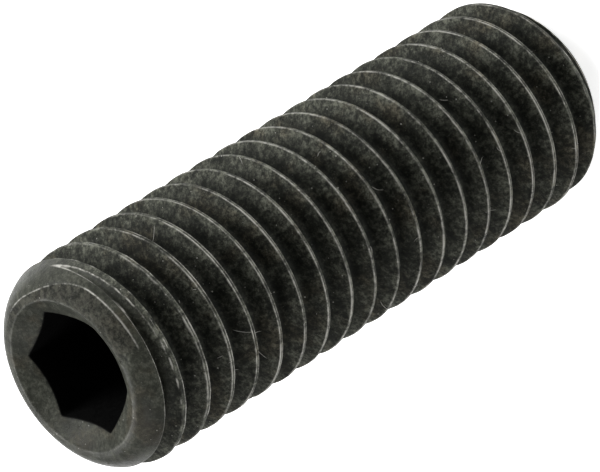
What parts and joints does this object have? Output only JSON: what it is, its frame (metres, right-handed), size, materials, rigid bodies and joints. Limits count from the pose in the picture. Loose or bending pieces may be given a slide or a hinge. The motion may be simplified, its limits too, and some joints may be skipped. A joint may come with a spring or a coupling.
{
  "type": "adjusting bolt",
  "caption": "Headless, fully threaded adjusting bolt in dark steel, with a hexagon socket in one end and a flat chamfered point on the other.",
  "frame": {"origin": "centre of the flat point's face, which the screw stands on", "axes": "+Z along the screw's axis from the flat point to the socket, +X through a corner of the hexagon"},
  "size_m": [0.0098, 0.0098, 0.0299],
  "materials": {
    "black_oxide_steel": "black oxide, worn bright on the thread crests"
  },
  "bodies": {
    "root": {"adjusting_bolt": "black_oxide_steel"}
  },
  "joints": []
}
